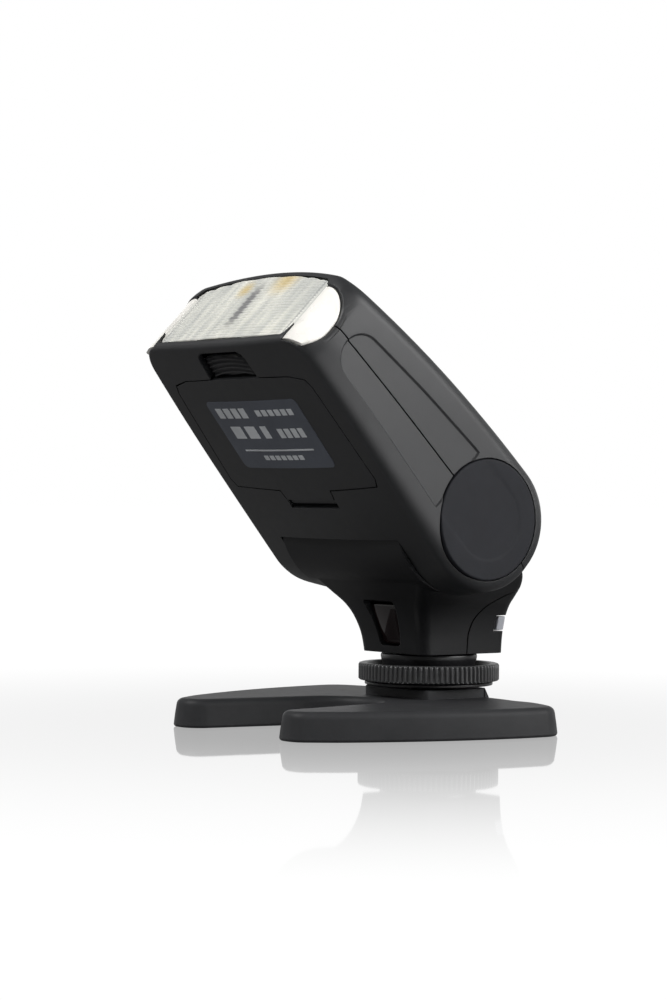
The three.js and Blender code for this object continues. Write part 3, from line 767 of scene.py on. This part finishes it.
def patch(name, outline, outer, inner):
    """A thin plate laid along the underside, between two depths."""
    points = dense(outline, 1.2)
    centre_x = sum(x for x, a in points) / len(points)
    centre_a = sum(a for x, a in points) / len(points)
    rings = []
    for depth, order in ((outer, (0.1, 0.35, 0.6, 0.82, 1.0)), (inner, (1.0, 0.6, 0.1))):
        for share in order:
            ring = []
            for x, a in points:
                u, v = centre_x + (x - centre_x) * share, centre_a + (a - centre_a) * share
                ring.append((u, -v, under_b(u, v, depth)))
            rings.append(ring)
    return loft(name, rings)


def build_label():
    """The film, and plain blocks and a line in place of its lettering."""
    film = patch("label_film_plate", rounded(-16.5, 16.5, 27.6, 45.4, 1.4), -0.07, 0.12)
    finish_piece(film, TO_HEAD, "door", LABEL, ["label_plate"])
    # Each mark is (left edge, width, low, high), in rows from the top of the label down.
    marks = [(-14.2 + 2.9 * i, 2.2, 41.0, 43.6) for i in range(4)]
    marks += [(0.2 + 2.3 * i, 1.7, 41.4, 43.0) for i in range(6)]
    marks += [(-12.6, 3.8, 35.6, 38.8), (-7.4, 3.8, 35.6, 38.8), (-1.6, 2.2, 35.6, 38.8)]
    marks += [(4.0 + 2.4 * i, 1.8, 35.6, 38.0) for i in range(4)]
    marks += [(-12.4, 25.0, 32.2, 32.6)]
    marks += [(-6.8 + 2.1 * i, 1.6, 29.8, 31.0) for i in range(7)]
    first = None
    for x, width, low, high in marks:
        mark = patch("label_marks", rounded(x, x + width, low, high, 0.15, 2), -0.095, -0.06)
        if first is None:
            first = mark
        else:
            merge(first, mark)
    finish_piece(first, TO_HEAD, "door", PRINT, [])


def merge(obj, other):
    """Adds other's mesh to obj's as a separate shell."""
    work = bmesh.new()
    work.from_mesh(obj.data)
    work.from_mesh(other.data)
    work.to_mesh(obj.data)
    work.free()
    bpy.data.objects.remove(other)


def latch_thumb():
    """The thumb piece, with four bowed ribs across it."""
    columns, rows = 56, 72
    top = []
    for j in range(rows + 1):
        a = LATCH_BACK + 4.6 * j / rows
        shoulder, corner = max(0.0, (a - 54.6) / 1.6), max(0.0, (a - 55.5) / 0.7)
        width = LATCH_HALF - 0.1 - 0.5 * shoulder - 1.3 * corner ** 2
        for i in range(columns + 1):
            u = -1 + 2 * i / columns
            phase = (a - LATCH_BACK - 0.3 + 1.1 * u * u) / 1.12
            wave = 0.5 - 0.5 * math.cos(2 * math.pi * phase)
            rib = 0.62 * wave ** 1.6 * min(1.0, 8 * (1 - abs(u)))
            edge = 0.35 * max(0.0, abs(u) - 0.94) / 0.06
            top.append((u * width, -a, under_b(u * width, a, 1.15 - rib + edge)))
    name = "battery_door_latch_thumb"
    return grid_solid(name, top, columns, rows, lambda point: (point[0], point[1], -7.75))


def build_latch():
    """Thumb piece, and the flange behind it that locks the door."""
    flange = soften(block("flange", -10, 10, -55.2, -53, -7.6, -7.2), 0.1)
    latch = join(latch_thumb(), block("stalk", -6, 6, -54.6, -53.2, -8.6, -7.3), flange)
    finish_piece(latch, TO_HEAD, "latch", SHELL, ["battery_door_latch"], 50)


# ---- Lens -----------------------------------------------------------------------------------

def lens_limits(x):
    """Lowest and highest b of the lens at x."""
    inset, front = WALL + GAP, HEAD_FRONT + 0.5
    q = x / half_width(front, inset)
    return low_b(front, x, q) + inset, top_b(front, x, q) - inset


def lens_height(x, b):
    """How far the ridged front stands at (x, b)."""
    plan = LENS_FACE - 0.6 * (x / LENS_HALF) ** 2
    side = abs(x)
    if side > SLOT_HALF:
        tooth = abs(((b / 0.7) % 1) - 0.5) * 2
        band = max(0.0, 1 - abs(side - 22.1) / 0.5)
        return plan - 0.16 + 0.3 * tooth * band
    ridge = math.sqrt(abs(math.sin(math.pi * b / RIDGE_PITCH)))
    return plan - RIDGE_HEIGHT + RIDGE_HEIGHT * ridge


def build_lens():
    """Lens with a ridge for every step up it and a serrated strip near each end."""
    columns, rows = 118, 200
    points = []
    for j in range(rows + 1):
        for i in range(columns + 1):
            x = -LENS_HALF + 2 * LENS_HALF * i / columns
            low, high = lens_limits(x)
            b = low + (high - low) * j / rows
            points.append((x, -lens_height(x, b), b))
    name = "front_lens_ridged"
    lens = grid_solid(name, points, columns, rows, lambda point: (point[0], -LENS_BACK, point[2]))
    finish_piece(lens, TO_HEAD, "head", LENS, ["front_lens"], 60)


def build_eye(sign, side):
    """White cap that closes the round window at one end of the lens."""
    spine = arc(24.3, 53.6, 6.1, 93.2, 22, 40)
    radius, columns, rows = EYE_R - GAP, 48, len(spine) - 1
    outer, inner = [], []
    for x, a in spine:
        reach = math.sqrt(max(0.01, radius ** 2 - (EYE_A - a) ** 2))
        for j in range(columns + 1):
            b = max(EYE_B + reach * (-1 + 2 * j / columns), -7.9)
            rim = radius - math.hypot(EYE_A - a, b - EYE_B)
            raised = 0.22 * max(0.0, 1 - abs(rim - 0.25) / 0.35)
            outer.append((sign * (x + raised), -(a + 0.4 * raised), b))
            inner.append((sign * (x - 0.9), -(a - 1.2), b))
    size = len(outer)
    front = grid_faces(columns, rows)
    back = [tuple(size + k for k in reversed(face)) for face in front]
    border = grid_border(columns, rows)
    walls = []
    for i, k in enumerate(border):
        other = border[(i + 1) % len(border)]
        walls.append((k, other, size + other, size + k))
    name = f"lens_side_cap_{side}_shell"
    cap = face_outwards(new_object(name, outer + inner, front + back + walls))
    finish_piece(cap, TO_HEAD, "head", WHITE, [f"lens_side_cap_{side}"], 40)


def build_disc(sign, side):
    """Pivot cap with the end of the side pocket carried faintly across it."""
    steps = 180
    flat = [0.4, 1, 2, 3, 4, 5, 6, 6.6, 7.2, 7.6, 8.0, 8.3, 8.6, 8.9, 9.3, 9.8, 10.4, 11, 11.6]
    rings = [(radius, CAP_FACE) for radius in flat + [12.1, 12.5]]
    for d in (20, 45, 70, 90):
        angle = math.radians(d)
        rings.append((CAP_R - 0.3 + 0.3 * math.sin(angle), CAP_FACE - 0.3 * (1 - math.cos(angle))))
    rings += [(CAP_R, 30.8), (0.4, 30.8)]
    made = []
    for radius, x in rings:
        ring = []
        for i in range(steps):
            angle = 2 * math.pi * i / steps
            a, b = radius * math.cos(angle), radius * math.sin(angle)
            reach = abs(b) if a > 0 else math.hypot(a, b)
            sunk = 0.13 * min(1.0, max(0.0, (8.75 - reach) / 0.45))
            ring.append((sign * (x - (sunk if x > 32 else 0)), -a, b))
        made.append(ring)
    disc = loft(f"pivot_cap_{side}_disc", made)
    finish_piece(disc, TO_HEAD, "head", DISC, [f"pivot_cap_{side}"])


# ---- Neck -----------------------------------------------------------------------------------

# Sections up the neck: height, half width, front, back and corner radius.
NECK = [
    (15.9, 11.5, -10.6, 12.6, 2.6),
    (20.0, 11.9, -11.3, 12.6, 2.6),
    (23.8, 13.0, -12.6, 12.6, 2.8),
    (26.5, 14.6, -14.0, 12.5, 3.0),
    (28.6, 16.8, -15.4, 12.2, 3.0),
    (31.0, 19.0, -17.2, 11.8, 2.6),
    (33.5, 20.6, -19.2, 10.6, 2.0),
    (35.5, NECK_HALF, -20.4, 9.0, 1.6),
    (39.0, NECK_HALF, -18.0, 5.8, 1.6),
    (43.0, NECK_HALF, -16.0, 3.0, 1.6),
    (46.5, NECK_HALF, -14.0, 1.0, 1.6),
]


def neck_body(name, inset=0.0):
    rings = []
    for z, half, front, back, radius in smooth_curve(NECK, 5):
        corner = max(0.8, radius - inset)
        outline = rounded(-half + inset, half - inset, front + inset, back - inset, corner, 8)
        rings.append([(x, y, z) for x, y in outline])
    half, radius = NECK_HALF - inset, DRUM_R - inset
    drum = lathe_x("drum", [(-half, radius), (half, radius)], PIVOT_Y, PIVOT_Z, 128)
    return join(loft(name, rings), drum)


def rear_outline(shift):
    """Side outline of everything behind the seam, moved back by the shift."""
    seam = [(1.3, 20.5), (1.9, 23.2), (3.4, 25.6), (5.4, 27.5), (8.0, 29.1), (12.8, 30.6)]
    curve = smooth_curve(seam, 6)
    moved = [(y + shift, z - shift * 0.6) for y, z in curve]
    return [(1.3 + shift, 0)] + moved + [(30, 30.6 - shift * 0.6), (30, 0)]


def window_outline(grow, radius):
    """Window seen from the front, wider at the top, with rounded corners."""
    low, high = (3.1 + grow, 17.9 - grow), (4.7 + grow, 26.6 + grow)
    corners = [low, high, (-high[0], high[1]), (-low[0], low[1])]
    points = []
    for i, corner in enumerate(corners):
        here = Vector(corner)
        before = Vector(corners[i - 1]) - here
        after = Vector(corners[(i + 1) % 4]) - here
        p0 = here + before.normalized() * radius
        p2 = here + after.normalized() * radius
        for k in range(7):
            t = k / 6
            point = p0 * (1 - t) ** 2 + here * 2 * t * (1 - t) + p2 * t * t
            points.append(tuple(point))
    return points


def build_neck():
    """Front shell and rear panel of the neck, parted along the seam."""
    whole = neck_body("neck_front_shell_skin")
    inside = cut(neck_body("inside", NECK_WALL), block("floor", -FAR, FAR, -FAR, FAR, 0, 18.1))
    hub = lathe_x("hub", [(-30, 4.9), (30, 4.9)], PIVOT_Y, PIVOT_Z)
    stem_hole = lathe_z("stem_hole", [(0, 4.4), (30, 4.4)])
    cut(whole, inside, stem_hole, hub)
    rear = copy(whole, "neck_rear_panel_skin")
    keep(rear, prism("rear_part", rear_outline(GAP), -40, 40, in_base_side))
    button_slot = block("button_slot", -16, 16, 8.4, 20, 20.7, 24.3)
    cut(rear, button_slot, block("switch_slot", -4.8, 4.8, 8, 20, 26, 28.2))
    cut(whole, prism("rear_part", rear_outline(0), -40, 40, in_base_side))
    pocket = loft("pocket", [
        [(x, -8.0, z) for x, z in window_outline(0.4, 1.0)],
        [(x, -12.2, z) for x, z in window_outline(0.45, 1.0)],
        [(x, -15.5, z) for x, z in window_outline(1.1, 1.4)],
        [(x, -30.0, z) for x, z in window_outline(1.2, 1.4)],
    ])
    cut(whole, pocket)
    finish_piece(whole, TO_BASE, "base", NECK_SKIN, ["neck_front_shell"])
    finish_piece(rear, TO_BASE, "base", NECK_SKIN, ["neck_rear_panel"])


def build_window():
    pane = loft("af_assist_window_pane", [
        [(x, y + 0.38 - 0.31 * (z - 17), z) for x, z in window_outline(grow, 0.9)]
        for y, grow in ((-8.9, 0.1), (-9.7, 0.1), (-10.0, 0.0), (-10.15, -0.25))
    ])
    finish_piece(pane, TO_BASE, "base", WINDOW, ["af_assist_window"])


# ---- Foot and ring --------------------------------------------------------------------------

def build_ring():
    """Ribbed ring; each profile point is (radius, height, depth of the ribs there)."""
    outside = [
        (15.0, RING_BOTTOM, 0), (15.35, 9.75, 0.2), (RING_R, 10.0, 1), (RING_R, 11.2, 1),
        (RING_R, 12.4, 1), (RING_R, 13.1, 1), (15.4, 13.4, 0.3), (15.1, 13.5, 0),
        (13.9, 13.5, 0), (13.7, 13.4, 0), (13.6, 13.2, 0), (13.5, 11.5, 0), (13.3, 11.3, 0),
    ]
    dish = [(12.6, 11.3), (11.2, 11.3)]
    inside = [(10.6, 11.3, 0), (6.1, 11.3, 0), (6.1, RING_BOTTOM, 0)]
    steps = RING_RIBS * 8
    angles = [2 * math.pi * i / steps for i in range(steps)]
    rings = [rib_ring(angles, *point) for point in outside]
    rings += [scallop_ring(angles, *point) for point in dish]
    rings += [rib_ring(angles, *point) for point in inside]
    rings.append(rings[0])
    ring = loft("locking_ring_ribbed", rings, capped=False)
    finish_piece(ring, TO_BASE, "ring", RING_SKIN, ["locking_ring"])


def rib_ring(angles, radius, z, depth):
    ring = []
    for angle in angles:
        wave = 0.5 + 0.5 * math.cos(RING_RIBS * angle)
        flute = min(1.0, max(0.0, (wave - 0.42) / 0.3)) * 0.5
        r = radius - flute * depth
        ring.append((r * math.cos(angle), r * math.sin(angle), z))
    return ring


def scallop_ring(angles, radius, z):
    """One round of the dish on top of the ring, with half as many low bumps as ribs."""
    ring = []
    for angle in angles:
        lift = 0.5 * max(0.0, math.cos(RING_RIBS / 2 * angle)) ** 0.5
        ring.append((radius * math.cos(angle), radius * math.sin(angle), z + lift))
    return ring


def build_stem():
    """Stem, and the collar that flares up to the neck."""
    collar = [(12.0, 10.2), (13.4, 10.3), (14.4, 10.6), (15.1, 10.7), (15.5, 10.6), (15.6, 10.4)]
    outline = [(7.1, STEM_R), (11.7, STEM_R), (11.72, 10.0)] + collar + [(15.6, 4.1), (19.4, 4.1)]
    stem = lathe_z("foot_stem_collar", outline, steps=128)
    pins = [(0, 0), (-3.7, -2.2), (3.7, -2.2), (0, 4.4)]
    holes = [lathe_z("hole", [(5, 1.3), (8.4, 1.3)], x, y, 24) for x, y in pins]
    threads = [lathe_z("thread", [(5, 1.1), (10.4, 1.1)], x, 2.2, 24) for x in (-4.0, 4.0)]
    cut(stem, *holes, *threads, lathe_z("lock", [(5, 1.3), (11.6, 1.3)], 0, LOCK_PIN_Y, 24))
    finish_piece(stem, TO_BASE, "base", DARK, ["foot_stem"])


# ---- Stand ----------------------------------------------------------------------------------

def stand_outline():
    """Plan of the stand, anticlockwise."""
    half = [(0, 9.4), (7, 9.4), (14, 9.4)]
    back = [(14, 9.4), (18, 9.0), (21.5, 8.5), (24.5, 8.6), (27.5, 8.6), (32, 7.5), (35.8, 6.06)]
    half += smooth_curve(back, 4)[1:-1]
    half += arc(33.3, -0.8, 7.3, 70, 8, 12)
    leg = [(40.2, -6.5), (38.7, -16.5), (36.4, -25.5), (33.4, -34.2), (28.8, -44.6)]
    half += smooth_curve([(40.53, 0.22)] + leg + [(24.59, -50.92)], 6)[1:-1]
    half += arc(20.4, -48.2, 5, -33, -90, 10)
    half += arc(19.2, -48.2, 5, -92, -172, 14)
    half += smooth_curve([(14.25, -48.9), (13.2, -42), (11.8, -34), (10.9, -27.5)], 6)[1:-1]
    half += arc(0, -27.5, 10.9, 0, 90, 20)
    other = [(-x, y) for x, y in reversed(half[1:-1])]
    return list(reversed(half + other))


def build_stand():
    """Two-legged stand with rounded edges and the shoe on top."""
    outline = stand_outline()
    levels = [(0, 0.45), (0.15, 0.2), (0.5, 0.05), (2.6, 0.3), (4.7, 0.62)]
    for d in (20, 40, 60, 75, 90):
        angle = math.radians(d)
        levels.append((STAND_TOP - 1.5 + 1.5 * math.sin(angle), 0.62 + 1.6 * (1 - math.cos(angle))))
    levels.append((STAND_TOP, 3.0))
    rings = []
    for z, inset in levels:
        rings.append([(x, y, z) for x, y in offset(outline, inset)])
    stand = loft("stand_body_skin", rings)
    shoe = soften(prism("shoe", rounded(-11.1, 11.1, -9.6, 7.4, 1.0), 2, 8.3, in_base_plan), 0.35, 3)
    ramp = prism("ramp", [(7, 3.5), (8.6, 3.5), (8.6, 5.4), (7, 8.3)], -11.1, 11.1, in_base_side)
    join(stand, shoe, ramp)
    cut(
        stand,
        block("channel", -9.6, 9.6, -8.5, 20, 4.5, 7.1),
        block("mouth", -6.4, 6.4, -8.5, 20, 6.5, 12),
        block("pin_relief", -5.4, 5.4, -6.4, 20, 3.4, 5),
        lathe_z("insert", [(-1, 5.3), (3.1, 5.3)]),
        lathe_z("lock_hole", [(2.6, 1.4), (5, 1.4)], 0, LOCK_PIN_Y, 32),
    )
    finish_piece(stand, TO_BASE, "stand", STAND_SKIN, ["stand_body"], 24)


# ---- CAD nodes that keep their shape --------------------------------------------------------

def dress(node, material, bevel=0.0):
    """Gives a CAD node its material, smooth rounds and eased edges."""
    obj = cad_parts[node]
    for slot in obj.material_slots:
        slot.material = material
    if not obj.material_slots:
        obj.data.materials.append(material)
    if bevel:
        weld = obj.modifiers.new("weld", "WELD")
        weld.merge_threshold = 1e-6
        step = obj.modifiers.new("soften", "BEVEL")
        step.width = bevel * MM
        step.segments = 2
        step.limit_method = "ANGLE"
        step.angle_limit = math.radians(40)
    return obj


def named(base, *ends):
    return [f"{base}_{end}" for end in ends]


def dress_nodes():
    """Material and edge radius of each CAD node that is shown as it is."""
    plan = [
        (BRASS, 0.0, ["stand_tripod_insert"]),
        (BRASS, 0.2, named("foot_contact", "centre", "left", "right", "rear")),
        (STEEL, 0.15, ["foot_plate", "lock_pin", "power_switch_body"]),
        (STEEL, 0.15, named("foot_screw", "left", "right")),
        (STEEL, 0.1, named("pivot_axle", "left", "right")),
        (STEEL, 0.1, named("pivot_detent_disc", "left", "right")),
        (STEEL, 0.2, named("tube_end", "left", "right")),
        (DARK, 0.15, ["clamp_washer", "test_switch", "power_switch_knob"]),
        (GREY, 0.25, ["test_button"]),
        (LED, 0.4, ["af_assist_led"]),
        (BOARD, 0.1, ["control_board", "flash_board"]),
        (MIRROR, 0.0, ["flash_reflector"]),
        (GLASS, 0.3, ["flash_tube"]),
        (CELL, 0.4, ["aa_cell_rear", "aa_cell_front"]),
        (NICKEL, 0.08, ["battery_bridge_contact", "battery_contact_rear", "battery_contact_front"]),
        (SLEEVE, 0.5, ["main_capacitor"]),
        (FERRITE, 0.4, ["trigger_transformer"]),
    ]
    for material, bevel, nodes in plan:
        for node in nodes:
            dress(node, material, bevel)


# ---- Stage, lights and camera ---------------------------------------------------------------

# In metres, degrees and watts.
AMBIENT = 0.2
FLOOR_SHOWN = 1.02
LIT_PATCH = (0.25, 0.04, 0)
BACKDROP = (-0.79, 0.59, -1.8)
MIDDLE = (0, 0, 0.05)
CAMERA_PLACE = (0.4754, (-379.0 + FOOT_AXIS_Y) * MM, 0.0515)
CAMERA_AZIMUTH = 53.46
CAMERA_PITCH = 0.20
CAMERA_ROLL = 0.48
CAMERA_LENS = 98.53


def seen_or_dim(tree, seen, dim):
    """One value for the camera and another for the light thrown on the object."""
    path = add_node(tree, "ShaderNodeLightPath")
    level = add_node(tree, "ShaderNodeMapRange")
    for name, value in (("To Min", dim), ("To Max", seen)):
        if isinstance(value, float):
            level.inputs[name].default_value = value
        else:
            tree.links.new(value, level.inputs[name])
    tree.links.new(path.outputs["Is Camera Ray"], level.inputs["Value"])
    return level.outputs["Result"]


def floor_glow(tree, place):
    """Plain white to the camera; dim to the object, but for a lit patch to the right of it."""
    beside = add_node(tree, "ShaderNodeVectorMath", operation="DISTANCE")
    beside.inputs[1].default_value = LIT_PATCH
    tree.links.new(place, beside.inputs[0])
    patch = step_down(tree, beside.outputs["Value"], 0.07, 0.15)
    lit = calc(tree, "MULTIPLY_ADD", patch, 5.0, AMBIENT)
    glow = add_node(tree, "ShaderNodeEmission")
    tree.links.new(seen_or_dim(tree, FLOOR_SHOWN, lit), glow.inputs["Strength"])
    return glow.outputs["Emission"]


def floor_gloss(tree, place):
    """How strongly the floor mirrors: most at a shallow angle, and none further out."""
    away = add_node(tree, "ShaderNodeVectorMath", operation="LENGTH")
    tree.links.new(place, away.inputs[0])
    near = step_down(tree, away.outputs["Value"], 0.03, 0.26)
    slant = add_node(tree, "ShaderNodeFresnel", IOR=1.45)
    return calc(tree, "MULTIPLY", near, slant.outputs["Fac"])


def build_floor():
    """White floor that mirrors the object softly close by and fades to plain white."""
    size = 6.0
    corners = [(-size, -size, 0), (size, -size, 0), (size, size, 0), (-size, size, 0)]
    floor = new_object("floor", corners, [(0, 1, 2, 3)])
    floor.location.z = -0.00005
    material = bpy.data.materials.new("floor_white")
    material.use_nodes = True
    tree = material.node_tree
    tree.nodes.remove(tree.nodes["Principled BSDF"])
    place = add_node(tree, "ShaderNodeTexCoord").outputs["Object"]
    shine = add_node(tree, "ShaderNodeBsdfGlossy")
    shine.inputs["Roughness"].default_value = 0.03
    mix = add_node(tree, "ShaderNodeMixShader")
    tree.links.new(floor_gloss(tree, place), mix.inputs["Fac"])
    tree.links.new(floor_glow(tree, place), mix.inputs[1])
    tree.links.new(shine.outputs["BSDF"], mix.inputs[2])
    tree.links.new(mix.outputs["Shader"], tree.nodes["Material Output"].inputs["Surface"])
    floor.data.materials.append(material)


def build_world():
    """A dim white room with a low bright backdrop behind the object."""
    world = bpy.data.worlds.new("white_room")
    bpy.context.scene.world = world
    world.use_nodes = True
    tree = world.node_tree
    place = add_node(tree, "ShaderNodeTexCoord")
    towards = add_node(tree, "ShaderNodeVectorMath", operation="DOT_PRODUCT")
    towards.inputs[1].default_value = BACKDROP
    tree.links.new(place.outputs["Generated"], towards.inputs[0])
    level = add_node(tree, "ShaderNodeMapRange")
    level.inputs["To Min"].default_value = 1.0
    level.inputs["To Max"].default_value = AMBIENT
    tree.links.new(step_down(tree, towards.outputs["Value"], 0.1, 0.35), level.inputs["Value"])
    back = tree.nodes["Background"]
    back.inputs["Color"].default_value = (1, 1, 1, 1)
    tree.links.new(seen_or_dim(tree, 1.0, level.outputs["Result"]), back.inputs["Strength"])


def area_light(name, position, size, power):
    """A softbox aimed at the middle of the object."""
    data = bpy.data.lights.new(name, "AREA")
    data.shape = "RECTANGLE"
    data.size, data.size_y = size
    data.energy = power
    lamp = bpy.data.objects.new(name, data)
    bpy.context.scene.collection.objects.link(lamp)
    lamp.location = position
    aim = Vector(MIDDLE) - Vector(position)
    lamp.rotation_mode = "QUATERNION"
    lamp.rotation_quaternion = aim.to_track_quat("-Z", "Y")


def build_lights():
    area_light("side_box", (0.74, 0.56, 0.48), (0.7, 0.7), 9.2)
    area_light("front_box", (0.80, -0.32, 0.66), (0.5, 0.5), 2.0)
    area_light("lens_box", (-0.25, -0.75, 0.95), (0.8, 0.5), 12.0)


def build_camera():
    azimuth, pitch, roll = map(math.radians, (CAMERA_AZIMUTH, CAMERA_PITCH, CAMERA_ROLL))
    data = bpy.data.cameras.new("camera")
    data.sensor_width = 36.0
    data.lens = CAMERA_LENS
    data.clip_start, data.clip_end = 0.05, 20
    camera = bpy.data.objects.new("camera", data)
    bpy.context.scene.collection.objects.link(camera)
    flat = math.cos(pitch)
    forward = Vector((-math.sin(azimuth) * flat, math.cos(azimuth) * flat, -math.sin(pitch)))
    level = forward.cross(Vector((0, 0, 1))).normalized()
    upright = level.cross(forward).normalized()
    right = level * math.cos(roll) + upright * math.sin(roll)
    up = upright * math.cos(roll) - level * math.sin(roll)
    turned = Matrix((right, up, -forward)).transposed()
    camera.matrix_world = Matrix.Translation(CAMERA_PLACE) @ turned.to_4x4()
    bpy.context.scene.camera = camera


# ---- Assembly -------------------------------------------------------------------------------

build_camera()
build_head_shells()
build_door()
build_label()
build_latch()
build_lens()
for sign, side in ((1, "right"), (-1, "left")):
    build_eye(sign, side)
    build_disc(sign, side)
build_neck()
build_window()
build_ring()
build_stem()
build_stand()
dress_nodes()
build_floor()
build_world()
build_lights()
bpy.context.scene.view_settings.view_transform = "Standard"
